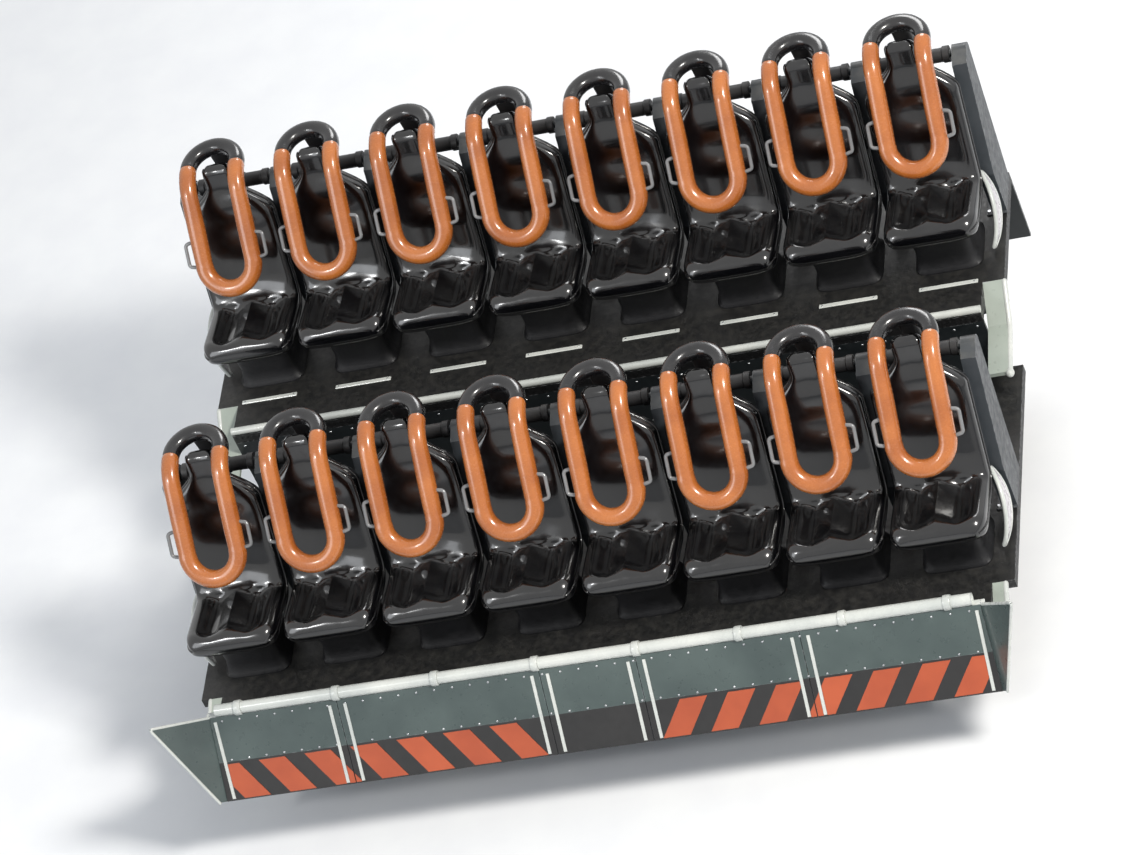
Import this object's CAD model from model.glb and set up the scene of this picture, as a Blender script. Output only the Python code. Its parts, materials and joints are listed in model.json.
# %% [markdown]
# # Dressing a coaster car
# This car drops nose down, so it is as wide as eight seats and only two rows deep. The measured solids
# are already packed. This lesson loads them and gives every surface its finish. It then works out, with
# numpy, the forms that the eye looks for: moulded seats, padded restraints, wheels, rims and bolts.

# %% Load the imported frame
import json
import math
import bmesh
import bpy
import numpy as np
from mathutils import Matrix, Vector

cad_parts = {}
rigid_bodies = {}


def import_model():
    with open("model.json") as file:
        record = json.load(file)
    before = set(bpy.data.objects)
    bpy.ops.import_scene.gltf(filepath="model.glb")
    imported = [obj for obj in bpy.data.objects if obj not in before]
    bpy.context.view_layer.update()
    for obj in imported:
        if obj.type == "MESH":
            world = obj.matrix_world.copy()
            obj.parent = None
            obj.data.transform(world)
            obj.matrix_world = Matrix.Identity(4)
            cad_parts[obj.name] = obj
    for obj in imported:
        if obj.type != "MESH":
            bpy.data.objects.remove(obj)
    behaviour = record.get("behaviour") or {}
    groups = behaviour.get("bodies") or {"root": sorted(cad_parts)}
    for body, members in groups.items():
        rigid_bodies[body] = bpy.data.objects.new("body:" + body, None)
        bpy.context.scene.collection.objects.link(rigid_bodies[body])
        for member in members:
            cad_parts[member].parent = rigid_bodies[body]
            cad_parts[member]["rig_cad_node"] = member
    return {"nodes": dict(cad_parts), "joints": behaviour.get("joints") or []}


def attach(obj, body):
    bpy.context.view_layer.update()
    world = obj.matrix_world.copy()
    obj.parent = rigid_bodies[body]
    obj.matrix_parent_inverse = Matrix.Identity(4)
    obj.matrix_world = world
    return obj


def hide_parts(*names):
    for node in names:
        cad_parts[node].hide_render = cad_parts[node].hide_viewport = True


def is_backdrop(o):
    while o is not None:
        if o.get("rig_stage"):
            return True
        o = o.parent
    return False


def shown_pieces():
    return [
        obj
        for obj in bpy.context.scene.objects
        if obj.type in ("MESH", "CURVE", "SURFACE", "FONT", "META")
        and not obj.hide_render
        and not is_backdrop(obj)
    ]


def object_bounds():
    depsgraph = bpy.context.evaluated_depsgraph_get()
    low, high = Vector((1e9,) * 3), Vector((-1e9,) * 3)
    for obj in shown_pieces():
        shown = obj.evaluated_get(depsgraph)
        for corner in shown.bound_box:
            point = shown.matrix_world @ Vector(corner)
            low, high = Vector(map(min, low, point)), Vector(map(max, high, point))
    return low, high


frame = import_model()
nodes = frame["nodes"]
cad_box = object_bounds()
print("CAD box:", [round(v, 3) for c in cad_box for v in c])

# %% [markdown]
# The joints say where everything turns, so they also say where each seat is. A restraint turns on a shaft
# 915 mm behind the front edge of its seat and 900 mm over the deck; taking that away from the joint's
# place gives the seat's own origin. Every later cell uses these origins and never a number of its own.

# %% Find the rows, the seats and the wheels from the joints
joint_at = {j["child"]: np.array(j["pos_m"]) for j in frame["joints"]}
PIVOT = np.array([0.91522, 0.90024])
ROWS = ("front", "rear")
SEATS = range(1, 9)
seat_at = {(r, i): joint_at[f"restraint_{r}_{i}"] - [0, *PIVOT] for r in ROWS for i in SEATS}
row_at = {r: seat_at[r, 1] * [0, 1, 1] for r in ROWS}
print("front row at", row_at["front"].round(4), "rear row at", row_at["rear"].round(4))

# %% [markdown]
# ## Camera
# The car is seen from above its nose, 23 degrees round to the seats' left and 42 degrees down, with the
# camera rolled so that the rows climb to the right. A long lens keeps the flat perspective of a view from
# 28 m away. The aim and the lens come from the car's own box: its corners are projected, the aim moves to
# their middle, and the lens grows until they fill nine tenths of the picture.

# %% Camera from the car's front, rolled as the rows climb
EYE = np.array([8.014, -19.449, 20.489])
RIGHT = np.array([0.948, 0.084, -0.307])
DISTANCE, SENSOR, FILL, SHAPE = 28, 36, 0.9, 1140 / 855
SIDES, DEPTHS, HEIGHTS = (-2.4, 2.4), (cad_box[0].y, cad_box[1].y), (0.45, 2.1)
corners = np.array([[x, y, z] for x in SIDES for y in DEPTHS for z in HEIGHTS])


def camera_axes(aim):
    """Look from the eye to the aim; right is made square to the look; up is right turned square to both."""
    look = (aim - EYE) / np.linalg.norm(aim - EYE)
    right = RIGHT - RIGHT.dot(look) * look
    right /= np.linalg.norm(right)
    return right, np.cross(right, look), look


aim = np.array([0.0, 0.0, 1.2])
for _ in range(4):
    right, up, look = camera_axes(aim)
    depth = (corners - EYE) @ look
    across, along = (corners - EYE) @ right / depth, (corners - EYE) @ up / depth
    aim += ((across.max() + across.min()) * right + (along.max() + along.min()) * up) / 2 * DISTANCE
half_w = max(np.ptp(across) / 2, np.ptp(along) / 2 * SHAPE)
camera = bpy.data.objects.new("camera", bpy.data.cameras.new("camera"))
camera.data.sensor_width = SENSOR
camera.data.lens = SENSOR / 2 / half_w * FILL
camera.data.clip_end = 200
axes = np.stack([right, up, -look], 1)
camera.matrix_world = Matrix([[*row, EYE[k]] for k, row in enumerate(axes)] + [[0, 0, 0, 1]])
bpy.context.scene.collection.objects.link(camera)
bpy.context.scene.camera = camera
print("lens", round(camera.data.lens), "mm, aim", aim.round(2))

# %% [markdown]
# ## Light and floor
# One large lamp stands in for the sun, high on the right, and puts the white streaks on the pads and on
# the black shells. A second, weaker one opens the left side, a small one draws streaks on the noses
# between the seats, one lights the backs, and a pale world fills the rest. The floor is a plain pale
# sheet that keeps the shadow. Rays from the camera, and those that a gloss or glass sends on, see a white
# world, so the background shows in the gloss but adds nothing to the light that falls on the car.

# %% Studio
scene = bpy.context.scene
scene.view_settings.view_transform = "Standard"
world = scene.world or bpy.data.worlds.new("studio")
scene.world = world
world.use_nodes = True
wn, wl = world.node_tree.nodes, world.node_tree.links
wn.clear()
soft, seen, path, pick, out = (wn.new(k) for k in ("ShaderNodeBackground", "ShaderNodeBackground",
                               "ShaderNodeLightPath", "ShaderNodeMixShader", "ShaderNodeOutputWorld"))
soft.inputs["Color"].default_value = (0.86, 0.92, 1.0, 1)
soft.inputs["Strength"].default_value = 0.34
seen.inputs["Color"].default_value = (1, 1, 1, 1)
mirror, either = wn.new("ShaderNodeMath"), wn.new("ShaderNodeMath")
wl.new(path.outputs["Is Glossy Ray"], mirror.inputs[0])
wl.new(path.outputs["Is Transmission Ray"], mirror.inputs[1])
wl.new(path.outputs["Is Camera Ray"], either.inputs[0])
wl.new(mirror.outputs[0], either.inputs[1])
wl.new(either.outputs[0], pick.inputs[0])
wl.new(soft.outputs[0], pick.inputs[1])
wl.new(seen.outputs[0], pick.inputs[2])
wl.new(pick.outputs[0], out.inputs["Surface"])


def lamp(name, place, size, power, tint=(1, 1, 1)):
    """A square area lamp at a place, turned towards the middle of the car."""
    data = bpy.data.lights.new(name, "AREA")
    data.size, data.energy, data.color = size, power, tint
    ob = bpy.data.objects.new(name, data)
    way = Vector(aim.tolist()) - Vector(place)
    ob.matrix_world = Matrix.Translation(place) @ way.to_track_quat("-Z", "Y").to_matrix().to_4x4()
    scene.collection.objects.link(ob)


lamp("sun_side", (9.0, -5.0, 13.0), 2.8, 2500, (1, 0.97, 0.92))
lamp("open_side", (-9.0, -9.0, 8.0), 6.0, 420, (0.93, 0.96, 1))
lamp("streaks", (-7.5, -10.0, 12.0), 1.6, 380)
lamp("behind", (2.0, 11.0, 10.0), 5.0, 800)

# %% [markdown]
# ## Shapes from numbers
# Each form below is a grid of points: rows follow a path, columns go round a section. numpy works out the
# whole grid at once. A few helpers do the work: one numbers the faces of a grid, one carries a section
# along a path, one spins a profile, and one turns finished grids into a single mesh that rides on a body.

# %% Grid, sweep and spin


def grid(points, close_rows=False, close_cols=False):
    """Faces of a rows x columns grid of points: corner (i, j) joins (i+1, j), (i+1, j+1) and (i, j+1)."""
    rows, cols = points.shape[:2]
    last_row, last_col = rows - (not close_rows), cols - (not close_cols)
    i, j = np.meshgrid(np.arange(last_row), np.arange(last_col), indexing="ij")
    a, b = (i + 1) % rows, (j + 1) % cols
    faces = np.stack([i * cols + j, a * cols + j, a * cols + b, i * cols + b], -1).reshape(-1, 4)
    return points.reshape(-1, 3), faces


def sweep(path, side, up, section, closed=False):
    """point(i, j) = path(i) + section_x(i, j) * side(i) + section_y(i, j) * up(i)."""
    section = np.broadcast_to(section, (len(path), *section.shape[-2:]))
    pts = path[:, None] + section[..., :1] * side[:, None] + section[..., 1:] * up[:, None]
    return grid(pts, close_rows=closed, close_cols=True)


def ring_about(axis, count):
    """Unit vectors evenly round an axis: cos a(i) * u + sin a(i) * v, with u and v square to the axis."""
    u = np.cross(axis, [0.31, 0.47, 0.83])
    u /= np.linalg.norm(u)
    a = np.arange(count) * 2 * math.pi / count
    return np.cos(a)[:, None] * u + np.sin(a)[:, None] * np.cross(axis, u)


def spin(profile, axis, origin=(0, 0, 0), count=48, closed=False):
    """point(i, j) = origin + along(j) * axis + radius(j) * ring(i)."""
    axis, profile = np.asarray(axis, float), np.asarray(profile, float)
    ring = ring_about(axis, count)
    pts = np.asarray(origin) + profile[None, :, 1:] * axis + profile[None, :, :1] * ring[:, None]
    return grid(pts, close_rows=True, close_cols=closed)


def copies(part, offsets):
    """The same grid at each offset: point(k, n) = point(n) + offset(k); face numbers go on by the block."""
    pts, faces = part
    offsets = np.atleast_2d(offsets)
    moved = (pts[None] + offsets[:, None]).reshape(-1, 3)
    return moved, (faces[None] + len(pts) * np.arange(len(offsets))[:, None, None]).reshape(-1, 4)


def mirrored(part):
    """The grid on the other side of the car: x changes sign, and the faces turn the other way round."""
    return part[0] * [-1, 1, 1], part[1][:, ::-1]


# %% [markdown]
# A piece follows a line, so lines come next. Corners are rounded by averaging each sample with its
# neighbours, which needs no handles as a drawn curve does. A tube is a round section on such a line, with
# domed ends, and bolts and rivets are tiny spins that are copied to where they sit.

# %% Curves and sections


def chain(points, step=0.01, ease=0.0):
    """Straight lines sampled at even steps; each sample is then the mean of its neighbours within ease."""
    p = np.asarray(points, float)
    leg = np.r_[0, np.cumsum(np.linalg.norm(np.diff(p, axis=0), axis=1))]
    s = np.linspace(0, leg[-1], max(int(leg[-1] / step), 2) + 1)
    q = np.stack([np.interp(s, leg, p[:, k]) for k in range(p.shape[1])], 1)
    w = int(ease / step)
    if w:
        pad = np.concatenate([2 * q[0] - q[w:0:-1], q, 2 * q[-1] - q[-2:-w - 2:-1]])
        total = np.cumsum(np.concatenate([np.zeros((1, p.shape[1])), pad]), axis=0)
        q = (total[2 * w + 1:] - total[:-2 * w - 1]) / (2 * w + 1)
    return q


def tangent(path):
    """Unit direction at each sample, from the differences of its neighbours."""
    t = np.gradient(path, axis=0)
    return t / np.linalg.norm(t, axis=1, keepdims=True)


def oval(count, a, b, power=2.0):
    """Section point: x = a * |cos t|^(2/power), y = b * |sin t|^(2/power), signed as cos and sin are."""
    t = np.arange(count) * 2 * math.pi / count
    c, s = np.cos(t), np.sin(t)
    x, y = np.sign(c) * np.abs(c) ** (2 / power), np.sign(s) * np.abs(s) ** (2 / power)
    return np.stack([a * x, b * y], 1)


def tube(path, r, ref=(0, 0, 1), sides=12, section=None):
    """A bar along a path with domed ends: end rings step out by r sin a and shrink to r cos a."""
    path = np.asarray(path, float)
    t = tangent(path)
    a = np.linspace(0, math.pi / 2, 5)[1:]
    first, last = path[0] - np.outer(r * np.sin(a[::-1]), t[0]), path[-1] + np.outer(r * np.sin(a), t[-1])
    size = np.r_[np.cos(a[::-1]), np.ones(len(path)), np.cos(a)]
    path = np.concatenate([first, path, last])
    t = np.concatenate([np.repeat(t[:1], len(a), 0), t, np.repeat(t[-1:], len(a), 0)])
    side = np.cross(t, ref)
    side /= np.linalg.norm(side, axis=1, keepdims=True)
    up = np.cross(side, t)
    shape = oval(sides, r, r) if section is None else section
    return sweep(path, side, up, shape[None] * size[:, None, None])


def plate_bar(p0, p1, half_w, half_h, ref=(0, 0, 1), edge=0.003):
    """A flat bar with all edges chamfered: its end rings are the same section, smaller by the chamfer."""
    p0, p1 = np.asarray(p0, float), np.asarray(p1, float)
    t = (p1 - p0) / np.linalg.norm(p1 - p0)
    path = np.stack([p0, p0, p0 + edge * t, p1 - edge * t, p1, p1])
    k = np.array([[0, 0], [half_w - edge, half_h - edge], [half_w, half_h], [half_w, half_h],
                  [half_w - edge, half_h - edge], [0, 0]])
    side = np.cross(t, ref)
    side /= np.linalg.norm(side)
    up = np.cross(side, t)
    c, d = edge / half_w, edge / half_h
    box = np.array([[1, -1 + d], [1, 1 - d], [1 - c, 1], [c - 1, 1],
                    [-1, 1 - d], [-1, d - 1], [c - 1, -1], [1 - c, -1]])
    return sweep(path, np.repeat(side[None], 6, 0), np.repeat(up[None], 6, 0), box[None] * k[:, None])


def hex_heads(places, axis, r, h):
    """Bolt heads: a six-sided spin of (r, 0), (r, .75h), (.86r, h), (0, h), once at each place."""
    return copies(spin([[r, -0.002], [r, 0.75 * h], [0.86 * r, h], [0, h]], axis, count=6), places)


def domes(places, axis, r, h):
    """Round heads: an eight-sided spin of a quarter ellipse."""
    a = np.linspace(0, math.pi / 2, 4)
    return copies(spin(np.stack([r * np.cos(a), h * np.sin(a)], 1), axis, count=8), places)


# %% [markdown]
# Every grid ends in one mesh per piece. Grids with poles or closed rings hold doubled points, so they are
# welded, and only then do the faces turn outwards. The piece then rides on its body, so that it moves in
# a pose.

# %% Turn grids into a piece


def make(name, parts, body, cad=(), crease=38):
    """Joins (grid, material) pairs into one mesh, welds it, turns its faces outwards, rides on the body."""
    mesh = bpy.data.meshes.new(name)
    mats = list(dict.fromkeys(m.name for _, m in parts))
    starts = np.cumsum([0] + [len(g[0]) for g, _ in parts])
    mesh.from_pydata(np.concatenate([g[0] for g, _ in parts]).tolist(), [],
                     np.concatenate([g[1] + n for (g, _), n in zip(parts, starts)]).tolist())
    mesh.polygons.foreach_set("material_index",
                              np.concatenate([np.full(len(g[1]), mats.index(m.name)) for g, m in parts]))
    for m in mats:
        mesh.materials.append(bpy.data.materials[m])
    bm = bmesh.new()
    bm.from_mesh(mesh)
    bmesh.ops.remove_doubles(bm, verts=bm.verts, dist=2e-6)
    bmesh.ops.dissolve_degenerate(bm, edges=bm.edges, dist=1e-6)
    bmesh.ops.recalc_face_normals(bm, faces=bm.faces)
    bm.to_mesh(mesh)
    bm.free()
    mesh.polygons.foreach_set("use_smooth", np.ones(len(mesh.polygons), bool))
    mesh.set_sharp_from_angle(angle=math.radians(crease))
    ob = bpy.data.objects.new(name, mesh)
    scene.collection.objects.link(ob)
    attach(ob, body)
    if cad:
        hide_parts(*cad)
    return ob


# %% [markdown]
# ## Finishes
# Paint, moulded plastic and bare metal are all the same recipe with other numbers. A slow noise drifts
# between two close tones, a finer one moves the gloss, a third raises a slight grain. Dust settles where
# a surface faces up, and paint wears on edges, where the bevel node's softened normal leaves the true
# one. The deck adds small round studs from a regular cell pattern. All patterns read object coordinates,
# so they stay put in every view.

# %% One recipe for every finish


def linear(r, g, b):
    """A screen colour from 0 to 255, made linear by the 2.2 power."""
    return tuple((np.array([r, g, b]) / 255) ** 2.2) + (1.0,)


def finish(name, tone, second, gloss, metal=0.0, coat=0.0, grain=0.15, grain_size=400.0, drift=3.0,
           dust=0.0, wear=None, studs=None):
    """Base colour, roughness and bump from noise; dust by the normal's z; wear by the bevelled normal."""
    mat = bpy.data.materials.new(name)
    mat.use_nodes = True
    n, link = mat.node_tree.nodes, mat.node_tree.links.new
    n.clear()
    place = n.new("ShaderNodeTexCoord").outputs["Object"]

    def noise(size, detail):
        t = n.new("ShaderNodeTexNoise")
        t.inputs["Scale"].default_value, t.inputs["Detail"].default_value = size, detail
        link(place, t.inputs["Vector"])
        return t.outputs["Fac"]

    def ranged(value, low, high, to_low, to_high):
        m = n.new("ShaderNodeMapRange")
        for key, v in zip(("From Min", "From Max", "To Min", "To Max"), (low, high, to_low, to_high)):
            m.inputs[key].default_value = v
        link(value, m.inputs["Value"])
        return m.outputs["Result"]

    def blend(share, a, b):
        m = n.new("ShaderNodeMix")
        m.data_type = "RGBA"
        link(share, m.inputs[0])
        for socket, v in ((m.inputs[6], a), (m.inputs[7], b)):
            if isinstance(v, tuple):
                socket.default_value = v
            else:
                link(v, socket)
        return m.outputs[2]

    shader = n.new("ShaderNodeBsdfPrincipled")
    shader.inputs["Metallic"].default_value = metal
    shader.inputs["Coat Weight"].default_value = coat
    shader.inputs["Coat Roughness"].default_value = 0.08
    link(shader.outputs[0], n.new("ShaderNodeOutputMaterial").inputs["Surface"])
    colour = blend(ranged(noise(drift, 5), 0.35, 0.65, 0, 1), tone, second)
    rough = ranged(noise(drift * 9, 4), 0.3, 0.7, gloss[0], gloss[1])
    if dust:
        facing = n.new("ShaderNodeSeparateXYZ")
        link(n.new("ShaderNodeNewGeometry").outputs["Normal"], facing.inputs[0])
        both = n.new("ShaderNodeMath")
        both.operation = "MULTIPLY"
        link(ranged(facing.outputs["Z"], 0.5, 1.0, 0, dust), both.inputs[0])
        link(ranged(noise(drift * 4, 6), 0.4, 0.7, 0.2, 1), both.inputs[1])
        colour = blend(both.outputs[0], colour, linear(150, 146, 136))
    if wear:
        bevel = n.new("ShaderNodeBevel")
        bevel.samples = 4
        bevel.inputs["Radius"].default_value = 0.006
        dot = n.new("ShaderNodeVectorMath")
        dot.operation = "DOT_PRODUCT"
        link(bevel.outputs[0], dot.inputs[0])
        link(n.new("ShaderNodeNewGeometry").outputs["Normal"], dot.inputs[1])
        edge = n.new("ShaderNodeMath")
        edge.operation = "MULTIPLY"
        link(ranged(dot.outputs["Value"], 0.8, 0.98, 1, 0), edge.inputs[0])
        link(ranged(noise(35, 6), 0.45, 0.65, 0, 0.85), edge.inputs[1])
        colour = blend(edge.outputs[0], colour, wear)
    link(colour, shader.inputs["Base Color"])
    link(rough, shader.inputs["Roughness"])
    bump = n.new("ShaderNodeBump")
    bump.inputs["Strength"].default_value = grain
    bump.inputs["Distance"].default_value = 0.0015
    link(noise(grain_size, 3), bump.inputs["Height"])
    if studs:
        dots = n.new("ShaderNodeTexVoronoi")
        dots.inputs["Scale"].default_value, dots.inputs["Randomness"].default_value = studs, 0
        link(place, dots.inputs["Vector"])
        raised = n.new("ShaderNodeBump")
        raised.inputs["Strength"].default_value, raised.inputs["Distance"].default_value = 0.8, 0.002
        link(ranged(dots.outputs["Distance"], 0.2, 0.32, 1, 0), raised.inputs["Height"])
        link(bump.outputs[0], raised.inputs["Normal"])
        bump = raised
    link(bump.outputs[0], shader.inputs["Normal"])
    return mat


# %% [markdown]
# Each finish is one line: two close tones, the range of its gloss, and what age adds. The tones are those
# of the surface in flat light, so that the lamps, and not the paint, make its light and dark sides.

# %% The finishes of this car
BARE = linear(150, 152, 155)
shell_black = finish("shell_black", linear(14, 14, 16), linear(19, 19, 21), (0.15, 0.24), coat=0.6,
                     grain=0.04, grain_size=250, dust=0.02)
shell_grip = finish("shell_grip", linear(15, 15, 17), linear(21, 21, 24), (0.42, 0.6), grain=0.5,
                    grain_size=700)
pad_orange = finish("pad_orange", linear(179, 105, 51), linear(158, 88, 40), (0.2, 0.32), coat=0.6,
                    grain=0.1, grain_size=300, drift=5, dust=0.03)
pad_black = finish("pad_black", linear(22, 22, 24), linear(32, 31, 32), (0.18, 0.32), coat=0.45,
                   grain=0.12, grain_size=300)
deck_black = finish("deck_black", linear(17, 18, 19), linear(23, 23, 24), (0.4, 0.6), grain=0.4, drift=5,
                    dust=0.05, wear=BARE, studs=28)
panel_dark = finish("panel_dark", linear(30, 34, 36), linear(38, 42, 44), (0.3, 0.5), dust=0.15,
                    wear=BARE)
apron_grey = finish("apron_grey", linear(74, 86, 84), linear(60, 72, 71), (0.25, 0.42), coat=0.3,
                    grain=0.08, dust=0.15, wear=BARE)
stripe_black = finish("stripe_black", linear(20, 20, 21), linear(30, 29, 29), (0.28, 0.45), coat=0.3,
                      dust=0.1)
stripe_orange = finish("stripe_orange", linear(180, 84, 50), linear(162, 72, 42), (0.28, 0.42), coat=0.3,
                       grain=0.08, dust=0.12, wear=linear(70, 50, 40))
rail_grey = finish("rail_grey", linear(206, 208, 202), linear(184, 188, 184), (0.22, 0.36), coat=0.2,
                   grain=0.06, wear=BARE)
plate_green = finish("plate_green", linear(164, 172, 162), linear(148, 157, 148), (0.26, 0.4), coat=0.25,
                     grain=0.08, dust=0.1, wear=BARE)
wing_grey = finish("wing_grey", linear(194, 189, 192), linear(180, 175, 179), (0.22, 0.34), coat=0.4,
                   grain=0.06)
handle_grey = finish("handle_grey", linear(122, 123, 124), linear(104, 105, 106), (0.25, 0.4), coat=0.2)
frame_paint = finish("frame_paint", linear(58, 62, 66), linear(46, 50, 54), (0.35, 0.55), grain=0.25,
                     dust=0.2, wear=BARE)
bogie_paint = finish("bogie_paint", linear(112, 124, 132), linear(96, 108, 118), (0.3, 0.5), grain=0.2,
                     dust=0.15, wear=BARE)
raw_steel = finish("raw_steel", linear(150, 150, 148), linear(120, 118, 116), (0.25, 0.5), metal=1.0,
                   grain=0.2)
zinc = finish("zinc", linear(176, 178, 180), linear(150, 152, 156), (0.25, 0.45), metal=1.0, grain=0.1)
cast_black = finish("cast_black", linear(34, 34, 36), linear(46, 45, 45), (0.45, 0.65), grain=0.6,
                    grain_size=180)
tread_cream = finish("tread_cream", linear(214, 204, 178), linear(196, 184, 156), (0.35, 0.5), grain=0.15,
                     drift=12)
print("finishes:", len(bpy.data.materials))

# %% [markdown]
# The solids that keep their own shape only need a finish each. Wheels, seats, wings and restraints are
# left out here, because later cells build them anew over the solids.

# %% Finish the solids that stay
FINISH_OF = {"chassis_frame": frame_paint, "axles": frame_paint, "outriggers": frame_paint,
             "brake_fins": raw_steel, "chain_dog": cast_black, "deck_front": deck_black,
             "deck_rear": deck_black, "body_panels": panel_dark, "row_rails": rail_grey,
             "apron_panels": apron_grey, "apron_stripe_panels": stripe_black,
             "apron_stripes": stripe_orange, "apron_trim": rail_grey, "apron_brackets": frame_paint,
             "side_plates": plate_green, "seat_wings": wing_grey, "seat_frame_front": frame_paint,
             "seat_frame_rear": frame_paint, "seats_front": shell_black, "seats_rear": shell_black}
for name, ob in nodes.items():
    mat = FINISH_OF.get(name) or (bogie_paint if name.startswith("bogie") else
                                  tread_cream if "wheel" in name else pad_orange)
    ob.data.materials.clear()
    ob.data.materials.append(mat)
print("solids with a finish:", len(nodes))

# %% [markdown]
# ## Seats
# A bucket seat is one rotomoulded shell: a hollow section carried from the front lip, round the hip and
# up to the headrest. Sculpting sixteen of them by hand would drift, so the shell is a formula. Its centre
# line is a rounded chain; half width and half thickness follow the line, and the upper half of the
# section sinks into two leg troughs, a middle rise and a back hollow. What is left of the full height at
# the sides is the bolsters, and their round noses catch the light between the seats.

# %% Seat shell as a carried section
SHELL_LINE = [[-0.004, 0.394], [0.455, 0.330], [0.715, 0.958], [0.770, 1.181]]
SHELL_ROWS, SHELL_COLS = 104, 72
HIP_WIDE, HEAD_WIDE, HIP_THICK, HEAD_THICK = 0.266, 0.084, 0.086, 0.050
TROUGH, RISE = 0.056, 0.012


def step_up(x, low, high):
    """Smooth step: 0 below low, 1 above high, 3t^2 - 2t^3 between."""
    t = np.clip((x - low) / (high - low), 0, 1)
    return t * t * (3 - 2 * t)


def shell_grid():
    """point = line(s) + x * across + n * normal(s); (x, n) is a squarish oval whose upper half sinks."""
    line = chain(SHELL_LINE, 0.004, 0.085)
    length = np.r_[0, np.cumsum(np.linalg.norm(np.diff(line, axis=0), axis=1))]
    u = np.linspace(0, 1, SHELL_ROWS)
    s = length[-1] * (u - 0.85 * np.sin(2 * math.pi * u) / (2 * math.pi))
    line = np.stack([np.interp(s, length, line[:, k]) for k in (0, 1)], 1)
    way = tangent(line)
    normal = np.stack([-way[:, 1], way[:, 0]], 1)
    end = length[-1] - s
    front = np.sqrt(1 - (1 - np.clip(s / 0.086, 0, 1)) ** 2)
    top = np.sqrt(1 - (1 - np.clip(end / 0.05, 0, 1)) ** 2)
    width = HIP_WIDE - (HIP_WIDE - HEAD_WIDE) * step_up(-end, -0.33, -0.12)
    width = width * (1 - 0.26 * (1 - np.sqrt(1 - (1 - np.clip(s / 0.12, 0, 1)) ** 2))) * (0.35 + 0.65 * top)
    thick = (HIP_THICK - (HIP_THICK - HEAD_THICK) * step_up(-end, -0.34, -0.12)) * front * top
    t = np.arange(SHELL_COLS) * 2 * math.pi / SHELL_COLS
    c, sn = np.cos(t), np.sin(t)
    x = np.sign(c) * np.abs(c) ** 0.5
    n = np.sign(sn) * np.abs(sn) ** 0.55
    seat = step_up(s, 0.0, 0.13) * (1 - step_up(s, 0.36, 0.52))
    back = step_up(s, 0.42, 0.62) * (1 - 0.75 * step_up(-end, -0.42, -0.2))
    legs = np.exp(-(((np.abs(x) - 0.43) / 0.25) ** 2))
    dish = np.clip(1 - x * x, 0, 1) ** 0.8
    rise = np.exp(-((x / 0.13) ** 2))
    sink = seat[:, None] * (RISE * rise - TROUGH * legs) - TROUGH * back[:, None] * dish
    height = thick[:, None] * n + np.where(sn > 0, np.abs(n) ** 0.7 * sink, 0)
    pts = np.zeros((SHELL_ROWS, SHELL_COLS, 3))
    pts[..., 0] = width[:, None] * x
    pts[..., 1] = line[:, :1] + height * normal[:, :1]
    pts[..., 2] = line[:, 1:] + height * normal[:, 1:]
    edge = np.stack([width + 0.001, line[:, 0], line[:, 1]], 1)
    return pts, edge


shell, shell_edge = shell_grid()
print("shell", shell.shape[:2], "reaches", np.abs(shell.reshape(-1, 3)).max(0).round(3))

# %% [markdown]
# Each shell stands on a moulded foot that narrows under the cushion, and a raised bead runs round its rim
# where the two halves of the mould meet. One seat is made once and copied eight times by adding offsets.

# %% Build both rows of seats
FOOT_MIDDLE = 0.312


def foot_grid():
    """Rings of a squarish oval at rising heights; a row of the table is height, half width, half depth."""
    ring = oval(40, 1, 1, 6)
    table = np.array([[0.000, 0.196, 0.186], [0.010, 0.196, 0.186], [0.022, 0.184, 0.174],
                      [0.10, 0.168, 0.160], [0.22, 0.172, 0.164], [0.34, 0.19, 0.172]])
    pts = np.zeros((len(table), len(ring), 3))
    pts[..., 0] = table[:, 1:2] * ring[:, 0]
    pts[..., 1] = FOOT_MIDDLE + table[:, 2:] * ring[:, 1]
    pts[..., 2] = table[:, :1]
    return grid(pts, close_cols=True)


bead = tube(shell_edge[6:-8], 0.006, ref=(1, 0, 0), sides=8)
seat_parts = [(grid(shell, close_cols=True), shell_black), (foot_grid(), shell_grip), (bead, shell_black),
              (mirrored(bead), shell_black)]
for r in ROWS:
    spots = np.array([seat_at[r, i] for i in SEATS])
    ob = make(f"seat_shells_{r}", [(copies(g, spots), m) for g, m in seat_parts], "car", (f"seats_{r}",),
              crease=50)
    print(ob.name, len(ob.data.polygons), "faces")

# %% [markdown]
# ## Restraints
# Each restraint is one closed loop of moulded foam over a steel core: orange legs and belly bar, and a
# black arch that joins the legs behind the headrest. The foam has a hard smooth skin and no sewn cloth,
# so it is modelled directly and not blown up like a cushion. Its middle line runs through exact arcs, so
# every point's frame is known without guessing: along the line, square to the loop's face, and across it.

# %% The loop's middle line and frames
BACK_TOP = np.array([0.7152, 0.9582])
BEND = BACK_TOP + [0.020, 0.062]
BEND_R, HALF_GAP, CHEST = 0.180, 0.148, 0.405
A_TOP, A_CHEST, SEAM = math.radians(95), math.radians(145), 0.020


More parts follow.
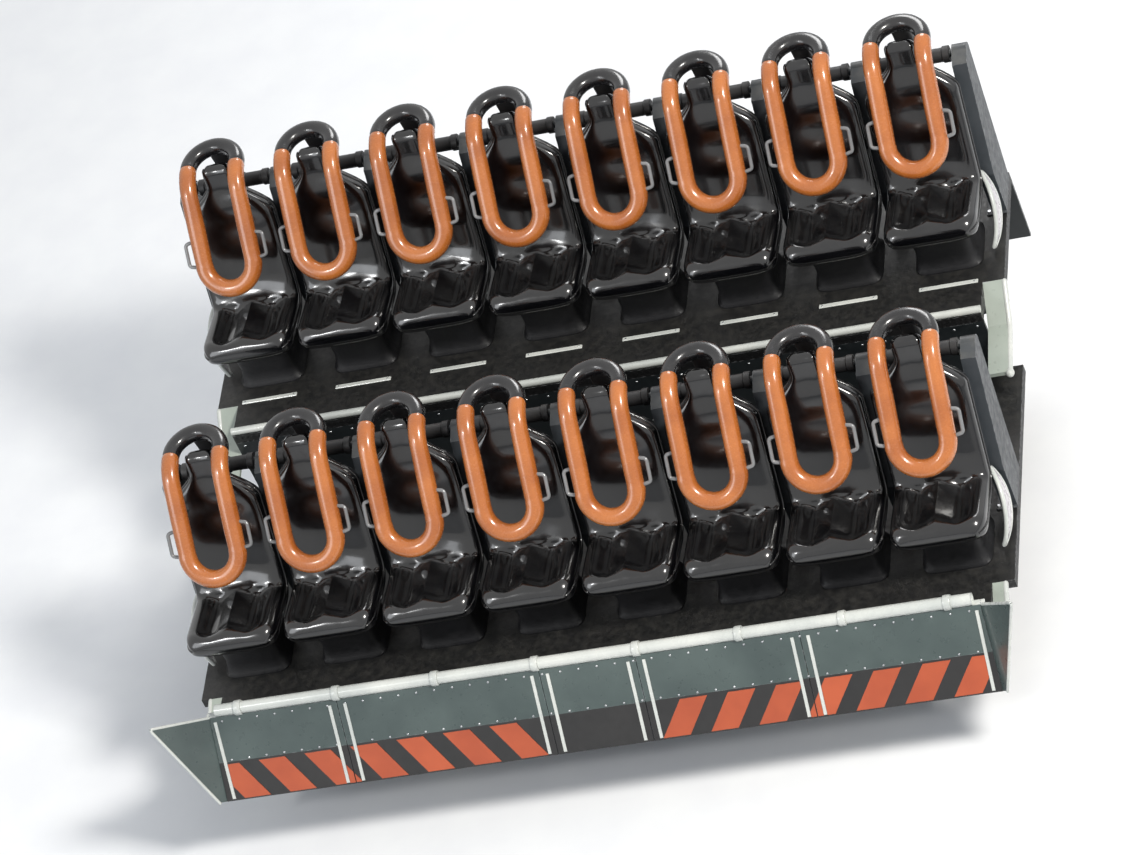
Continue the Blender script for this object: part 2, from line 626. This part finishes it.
def loop_line():
    """Half of the loop is quarter arch, seam, shoulder arc, straight chest, quarter U; then its mirror."""
    def at(a):
        return BEND + BEND_R * np.stack([np.cos(a), np.sin(a)], -1)
    back = np.array([math.sin(A_TOP), -math.cos(A_TOP)])
    down = np.array([-math.sin(A_CHEST), math.cos(A_CHEST)])
    q = np.linspace(math.pi / 2, 0, 22)[:-1]
    gap = np.linspace(SEAM, 0, 5)[:-1]
    a = np.linspace(A_TOP, A_CHEST, 18)[:-1]
    c = np.linspace(0, CHEST, 26)[:-1]
    e = np.linspace(0, math.pi / 2, 24)
    x = [HALF_GAP * np.cos(q), 0 * gap + HALF_GAP, 0 * a + HALF_GAP, 0 * c + HALF_GAP, HALF_GAP * np.cos(e)]
    yz = [at(A_TOP) + np.outer(SEAM + HALF_GAP * np.sin(q), back), at(A_TOP) + np.outer(gap, back), at(a),
          at(A_CHEST) + np.outer(c, down), at(A_CHEST) + np.outer(CHEST + HALF_GAP * np.sin(e), down)]
    ang = np.concatenate([0 * q + A_TOP, 0 * gap + A_TOP, a, 0 * c + A_CHEST, 0 * e + A_CHEST])
    kind = np.concatenate([0 * q, 0.9 - 0.8 * gap / SEAM, 0 * a + 1, 2 + c / CHEST, 0 * e + 4])
    half = np.c_[np.concatenate(x), np.concatenate(yz)]
    flip = slice(-2, 0, -1)
    line = np.concatenate([half, half[flip] * [-1, 1, 1]])
    ang, kind = np.r_[ang, ang[flip]], np.r_[kind, kind[flip]]
    return line, np.stack([0 * ang, np.cos(ang), np.sin(ang)], 1), kind


loop, loop_normal, loop_kind = loop_line()
way = np.roll(loop, -1, 0) - np.roll(loop, 1, 0)
way /= np.linalg.norm(way, axis=1, keepdims=True)
loop_side = np.cross(way, loop_normal)
print("loop of", len(loop), "samples, belly at", loop[np.argmin(loop[:, 2])].round(3))

# %% Pads, arm, hub and handles
PAD_SIDES, ARCH_R, LEG_R, BELLY_R = 28, 0.046, 0.0475, 0.05
leg = LEG_R + (BELLY_R - LEG_R) * np.sin(math.pi * np.clip(loop_kind - 2, 0, 1))
fat = np.where(loop_kind < 0.5, ARCH_R, np.where(loop_kind < 3.5, leg, BELLY_R))
seam = 0.0035 * np.exp(-((loop_kind - 0.5) / 0.25) ** 2)
round_pad = oval(PAD_SIDES, 1, 1.02, 2.3)
sections = round_pad[None] * (fat - seam)[:, None, None]
pad_pts, pad_faces = sweep(loop, loop_side, loop_normal, sections, closed=True)
face_kind = loop_kind[pad_faces[:, 0] // PAD_SIDES]
pad_parts = [((pad_pts, pad_faces[face_kind >= 0.5]), pad_orange),
             ((pad_pts, pad_faces[face_kind < 0.5]), pad_black)]

apex = loop[0]
arm_line = chain([[0, *(PIVOT + [-0.004, 0.03])], [0, *(PIVOT + [0.004, 0.16])],
                  [0, apex[1] + 0.004, apex[2] - 0.01]], 0.012, 0.05)
arm = tube(arm_line, 0.034, ref=(1, 0, 0), section=oval(24, 0.034, 0.052, 4))
hub_half = np.array([[0.0212, 0.215], [0.046, 0.215], [0.048, 0.213], [0.048, 0.18], [0.041, 0.173],
                     [0.041, 0.075], [0.047, 0.066]])
hub_profile = np.concatenate([hub_half, hub_half[::-1] * [1, -1]])
hub = spin(hub_profile, (1, 0, 0), (0, *PIVOT), 36, closed=True)
down = np.array([-math.sin(A_CHEST), math.cos(A_CHEST)])
start = BEND + BEND_R * np.array([math.cos(A_CHEST), math.sin(A_CHEST)])


def handle_grid():
    """A bow on the outside of a leg: out from the leg, along it, and back in, with rounded corners."""
    bow = ((0.03, 0.25), (0.088, 0.262), (0.088, 0.392), (0.03, 0.404))
    line = chain([[HALF_GAP + o, *(start + d * down)] for o, d in bow], 0.004, 0.016)
    return tube(line, 0.0105, ref=(0, math.cos(A_CHEST), math.sin(A_CHEST)), sides=10)


handle = handle_grid()
arm_parts = [(arm, cast_black), (hub, cast_black), (handle, handle_grey), (mirrored(handle), handle_grey)]
for (r, i), spot in seat_at.items():
    body = f"restraint_{r}_{i}"
    soft_parts = [(copies(g, spot), m) for g, m in pad_parts]
    pad = make(f"restraint_pad_{r}_{i}", soft_parts, body, (body,))
    steel_parts = [(copies(g, spot), m) for g, m in arm_parts]
    make(f"restraint_arm_{r}_{i}", steel_parts, body, crease=30)
print("restraints:", len(seat_at), "pad faces", len(pad_faces))

# %% [markdown]
# ## Wheels
# Wheels of such a car are turned aluminium discs with a bonded tread. A lathe makes them, so a spun
# profile is the honest way: bore, hub face, hollow web, rim, and a crowned tread with round shoulders.
# The profile is written once for any radius and width, and bolts sit in a circle on both hub faces.

# %% Spin the wheels


def tread_profile(r, w):
    """The tread's ring: inner face on the rim, shoulders as quarter circles, a crown that is 1 mm high."""
    a = np.linspace(0, math.pi / 2, 6)
    k, base = 0.011, 0.79 * r
    right = np.stack([r - 0.001 - k + k * np.sin(a), w / 2 - k + k * np.cos(a)], 1)
    left = right[::-1] * [1, -1]
    inside = [[base, -w / 2 + 0.006], [base, w / 2 - 0.006], [0.81 * r, w / 2]]
    return np.concatenate([inside, right, [[r, 0.0]], left, [[0.81 * r, -w / 2]]])


def disc_profile(r, w, bore):
    """The disc's ring, from the bore out: hub face, step, hollow web, rim with a small lip."""
    h = w / 2 - 0.007
    one = np.array([[bore, h + 0.004], [bore + 0.016, h + 0.004], [bore + 0.02, h],
                    [bore + 0.026, h - 0.002], [bore + 0.034, h - 0.012], [0.62 * r, h - 0.016],
                    [0.67 * r, h - 0.003], [0.7 * r, h + 0.003], [0.785 * r, h + 0.003], [0.795 * r, h]])
    return np.concatenate([one, one[::-1] * [1, -1]])


def wheel_parts(r, w, axis, bore=0.02405):
    """Tread, disc, and six bolts on each face, half-way from the bore to the outer edge of the web."""
    axis = np.asarray(axis, float)
    ring = (bore + 0.5 * (0.62 * r - bore)) * ring_about(axis, 6)
    parts = [(spin(tread_profile(r, w), axis, count=72, closed=True), tread_cream),
             (spin(disc_profile(r, w, bore), axis, count=60, closed=True), zinc)]
    for side in (1, -1):
        places = ring + side * (w / 2 - 0.021) * axis
        parts.append((hex_heads(places, side * axis, 0.0075, 0.008), raw_steel))
    return parts


KINDS = {"run_wheel": (0.160, 0.080, (1, 0, 0)), "guide_wheel": (0.120, 0.070, (0, 0, 1)),
         "up_wheel": (0.090, 0.070, (1, 0, 0))}
for body, place in joint_at.items():
    kind = next((k for k in KINDS if body.startswith(k)), None)
    if kind:
        parts = [(copies(g, place), m) for g, m in wheel_parts(*KINDS[kind])]
        make(f"turned_{body}", parts, body, (body,))
print("wheels:", sum("wheel" in b for b in joint_at))

# %% [markdown]
# ## Nuts
# The axles of the running and guide wheels end in nuts. Bolt heads are tiny next to the car but they give
# its scale, so they are six-sided spins with a chamfer, placed from the joints, and they steer with their
# bogie.

# %% Nuts on the bogies
AXLE_END, GUIDE_END = 0.092, 0.087
for r in ROWS:
    for s in ("left", "right"):
        name = f"{r}_{s}"
        run, guide = (np.array([joint_at[f"{kind}_{k}_{name}"] for k in ("lead", "trail")])
                      for kind in ("run_wheel", "guide_wheel"))
        parts = [(hex_heads(run + [side * AXLE_END, 0, 0], (side, 0, 0), 0.034, 0.02), zinc)
                 for side in (1, -1)]
        parts.append((hex_heads(guide + [0, 0, GUIDE_END], (0, 0, 1), 0.03, 0.016), zinc))
        make(f"axle_nuts_{name}", parts, f"bogie_{name}")
print("nuts done")

# %% [markdown]
# ## Rims, clamps and rivets on the body
# Bright rolled rims finish the end sills, the horns beside the apron and the leaf-shaped wings. A rim is
# a thin tube along the plate's outline, so the outline is written once, as a chain of corners or two
# arcs, and the tube follows it. On a slope it is easiest to place things in the slope's own measures:
# across, up the slope and out from it, and to turn these into the car's axes at the end.

# %% Rims of sills, horns and wings
fy, fz = row_at["front"][1:]
ry, rz = row_at["rear"][1:]
APRON_RUN, APRON_DROP = 0.270, 0.455
TILT = math.atan2(APRON_RUN, APRON_DROP)
APRON_UP = np.array([math.sin(TILT), math.cos(TILT)])
APRON_OUT = np.array([-math.cos(TILT), math.sin(TILT)])
APRON_FOOT = np.array([fy - 0.515, fz - 0.290])
APRON_LEN = math.hypot(APRON_RUN, APRON_DROP) - 0.034
APRON_EDGE = math.atan2(0.020, APRON_LEN)
HORN_FOLD = math.radians(54)
HORN_X = 2.2253 + 0.012 * math.sin(HORN_FOLD)


def on_apron(x, up_slope, lift):
    """place = foot + up_slope * (up the slope) + lift * (out from it), at x across the car."""
    x, up_slope, lift = (np.asarray(v, float)[..., None] for v in np.broadcast_arrays(x, up_slope, lift))
    return np.concatenate([x, APRON_FOOT + up_slope * APRON_UP + lift * APRON_OUT], -1).reshape(-1, 3)


def on_horn(points, lift):
    """Horn measures (a, b) turn by the fold about the slope, and then by the apron's slanted edge."""
    a, b = np.asarray(points, float).T
    x = a * math.cos(HORN_FOLD) - lift * math.sin(HORN_FOLD)
    out = a * math.sin(HORN_FOLD) + lift * math.cos(HORN_FOLD)
    return on_apron(HORN_X + x * math.cos(APRON_EDGE) - b * math.sin(APRON_EDGE),
                    x * math.sin(APRON_EDGE) + b * math.cos(APRON_EDGE), out)


front_sill = [[fy - 0.004, fz - 0.0125], [fy - 0.222, fz - 0.0725], [fy - 0.455, fz - 0.0475]]
rear_sill = [[ry - 0.004, rz - 0.0125], [ry - 0.2125, rz - 0.1575], [ry - 0.529, rz - 0.2025]]
rim_parts = []
for edge_x, rim in ((2.2965, front_sill), (2.3465, rear_sill)):
    line = chain(rim, 0.01, 0.03)
    bar = tube(np.c_[np.full(len(line), edge_x), line], 0.0155, ref=(1, 0, 0), sides=14)
    knob = tube([[edge_x, *line[-1]], [edge_x, *(line[-1] - [0.006, 0])]], 0.024, ref=(1, 0, 0), sides=16)
    rim_parts += [(part, rail_grey) for part in (bar, mirrored(bar), knob, mirrored(knob))]
make("plate_rims", rim_parts, "car")
horn_corners = [[0.049, 0.006], [0.400, APRON_LEN + 0.070], [0.006, APRON_LEN + 0.001]]
horn = tube(chain(on_horn(horn_corners, 0.006), 0.01, 0.02), 0.0085, ref=(1, 0, 0), sides=10)
make("horn_rims", [(horn, rail_grey), (mirrored(horn), rail_grey)], "car")

LEAF_R, LEAF_APART, LEAF_TURN = 372, 297, math.radians(-39.7)
LEAF_MIDDLE, SEAT_SIDE, BULGE, BALL, RIM_SINK = [370, 195], 2298, 63, 420, 8


def wing_rim(y, z):
    """Two arcs make the leaf, in mm, turned about its middle; x follows the ball that it is cut from."""
    half = math.acos(LEAF_APART / LEAF_R) * 0.93
    a = np.linspace(-half, half, 40)
    one = np.stack([LEAF_R * np.cos(a) - LEAF_APART, LEAF_R * np.sin(a)], 1)
    c, sn = math.cos(LEAF_TURN), math.sin(LEAF_TURN)
    turned = np.concatenate([one, -one]) @ np.array([[c, sn], [-sn, c]])
    x = SEAT_SIDE + BULGE - BALL + np.sqrt((BALL - RIM_SINK) ** 2 - (turned ** 2).sum(1))
    line = np.c_[x, turned + [y * 1000 + LEAF_MIDDLE[0], z * 1000 + LEAF_MIDDLE[1]]] / 1000
    return np.concatenate([line, line[:1]])


wing_parts = []
for y, z in ((fy, fz), (ry, rz)):
    rim = tube(wing_rim(y, z), 0.0125, ref=(1, 0, 0), sides=10)
    wing_parts += [(rim, rail_grey), (mirrored(rim), rail_grey)]
make("wing_rims", wing_parts, "car")

# %% [markdown]
# The rail over the apron sits in clamps, and rivets hold the apron's panels along their upper and lower
# edges.

# %% Apron rivets and rail clamps
RIVET_X, PANEL_LIFT, RIVET_UP = np.linspace(-2.14, 2.14, 42), 0.0118, (0.238, APRON_LEN - 0.028)
rivets = np.concatenate([on_apron(RIVET_X, v, PANEL_LIFT) for v in RIVET_UP])
rivets = domes(rivets, np.array([0, *APRON_OUT]), 0.0075, 0.005)
make("apron_rivets", [(rivets, zinc)], "car")
clamp_half = [[0.0345, -0.02], [0.0405, -0.02], [0.0425, -0.016]]
clamp_ring = clamp_half + [[r, -along] for r, along in reversed(clamp_half)]
clamp = spin(clamp_ring, (1, 0, 0), count=40, closed=True)
rail_y, rail_z = fy - 0.245, fz + 0.165
spots = np.array([[x, rail_y, rail_z] for x in np.linspace(-2.03, 2.03, 8)])
make("rail_clamps", [(copies(clamp, spots), rail_grey)], "car")

# %% [markdown]
# Beyond the rail's knobs a short open slot is left between the bulkhead and the apron's top edge. A small
# screwed plate closes it on each side. It is a chamfered bar, so its edges catch a thin line of light.

# %% End plates of the rail
PLATE_IN, PLATE_OUT, PLATE_SCREW = 2.150, 2.229, 2.208
slot_y, slot_z = fy - 0.2508, fz + 0.1397
end_plate = plate_bar([PLATE_IN, slot_y, slot_z], [PLATE_OUT, slot_y, slot_z], 0.0175, 0.0026)
spots = np.array([[PLATE_SCREW, slot_y + e, slot_z + 0.0024] for e in (-0.008, 0.008)])
end_screws = domes(spots, (0, 0, 1), 0.004, 0.002)
make("rail_end_plates", [(end_plate, rail_grey), (mirrored(end_plate), rail_grey), (end_screws, zinc),
                         (mirrored(end_screws), zinc)], "car")

# %% [markdown]
# On the rear deck a broken line of light sill strips runs along the seats' feet, one strip per seat. Each
# is a chamfered bar with a screw at both ends.

# %% Sill strips
STRIP_HALF, SCREW_X = 0.17, 0.15
strips, screws = [], []
for i in SEATS:
    x, y, z = seat_at["rear", i] + [0, 0.018, 0.003]
    strips.append((plate_bar([x - STRIP_HALF, y, z], [x + STRIP_HALF, y, z], 0.014, 0.004), rail_grey))
    screws += [[x - SCREW_X, y, z + 0.0035], [x + SCREW_X, y, z + 0.0035]]
screws = (domes(np.array(screws), (0, 0, 1), 0.006, 0.003), zinc)
make("sill_strips", strips + [screws], "car")

# %% [markdown]
# Underneath, bolts hold the brake fins, the chain hook and the axle beams, and nuts close the kingpins.
# All of them follow from where the bogies turn: the cross members lie 440 mm behind the front kingpins
# and 430 mm before the rear ones. Rivets run along the riser between the rows and along the panel behind
# the rear row.

# %% Bolts under the frame
KING = {n: joint_at[n] for n in joint_at if n.startswith("bogie")}
by = sorted({round(p[1], 6) for p in KING.values()})
member_y = [by[0] + 0.440, by[1] - 0.430]
FIN_X, BEAM_X = 0.230, 0.520
fin_bolts = [[sx * (FIN_X + d), y + e, 0.548] for sx in (-1, 1) for d in (-0.022, 0.022) for y in member_y
             for e in (-0.026, 0.026)]
hook_bolts = [[x, member_y[0] + e, 0.545] for x in (-0.036, 0.036) for e in (-0.024, 0.024)]
axle_bolts = [[sx * (BEAM_X + d), y + e, 0.390] for sx in (-1, 1) for d in (-0.04, 0.04) for y in by
              for e in (-0.036, 0.036)]
under = fin_bolts + hook_bolts + axle_bolts
caps = np.array(list(KING.values())) * [1, 1, 0]
heads = [hex_heads(np.array(under), (0, 0, -1), 0.011, 0.008),
         hex_heads(caps + [0, 0, 0.370], (0, 0, -1), 0.026, 0.016),
         hex_heads(caps + [0, 0, 0.540], (0, 0, 1), 0.026, 0.016)]
make("frame_bolts", [(part, zinc) for part in heads], "car")
RISER_Z, BACK_Z = (0.79, 1.11), (0.73, 1.11)
riser = np.array([[x, ry - 0.245, z] for x in np.linspace(-2.18, 2.18, 34) for z in RISER_Z])
rear = np.array([[x, ry + PIVOT[0] - 0.060, z] for x in np.linspace(-2.31, 2.31, 36) for z in BACK_Z])
rows_of = ((riser, (0, -1, 0)), (rear, (0, 1, 0)))
make("panel_rivets", [(domes(places, way, 0.008, 0.005), zinc) for places, way in rows_of], "car")

# %% [markdown]
# The posts behind the seats stand on bolted foot plates, and a round cap closes each shaft bearing. Both
# repeat at every post, half a seat pitch to each side of a seat, so their places come from the seats' own
# origins.

# %% Foot plates and bearing caps of the posts
PITCH = seat_at["front", 2][0] - seat_at["front", 1][0]
FOOT_HALF, END_HALF = 0.085, 0.028
CAP = [[0.0205, 0.0], [0.036, 0.0], [0.036, 0.004], [0.033, 0.006], [0.0205, 0.006]]
for r in ROWS:
    y, z = row_at[r][1:]
    post_x = [seat_at[r, 1][0] + (k - 0.5) * PITCH for k in range(len(SEATS) + 1)]
    feet, bolts, caps = [], [], {-1: [], 1: []}
    for k, x in enumerate(post_x):
        reach = {-1: FOOT_HALF if k > 0 else END_HALF, 1: FOOT_HALF if k < len(SEATS) else END_HALF}
        mid, wide = x + (reach[1] - reach[-1]) / 2, (reach[-1] + reach[1]) / 2
        low, high = [mid, y + 0.522, z + 0.0055], [mid, y + 0.848, z + 0.0055]
        feet.append((plate_bar(low, high, wide, 0.0052), frame_paint))
        for side in (-1, 1):
            if reach[side] == FOOT_HALF:
                bolts += [[x + side * 0.07, y + v, z + 0.0105] for v in (0.545, 0.685, 0.825)]
                caps[side].append([x + side * 0.055, y + PIVOT[0], z + PIVOT[1]])
    rings = [(copies(spin(CAP, (side, 0, 0), count=28, closed=True), np.array(caps[side])), zinc)
             for side in (1, -1)]
    bolt_heads = (hex_heads(np.array(bolts), (0, 0, 1), 0.011, 0.008), zinc)
    make(f"post_feet_{r}", feet + [bolt_heads] + rings, "car")

# %% [markdown]
# ## Floor and checks
# The floor is stage, not car. Last, the box of the dressed car is set beside the box of the solids. They
# agree to a few millimetres, because dressing changes no size.

# %% Floor, sizes, finish
floor_mesh = bpy.data.meshes.new("floor")
floor_mesh.from_pydata([(-90, -90, 0), (90, -90, 0), (90, 90, 0), (-90, 90, 0)], [], [(0, 1, 2, 3)])
floor = bpy.data.objects.new("floor", floor_mesh)
scene.collection.objects.link(floor)
floor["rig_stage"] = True
floor_pale = finish("floor_pale", linear(236, 237, 238), linear(232, 233, 235), (0.7, 0.85), grain=0.02)
floor_mesh.materials.append(floor_pale)
total = sum(len(o.data.polygons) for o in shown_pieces() if o.type == "MESH" and "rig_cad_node" not in o)
print("faces added:", total)
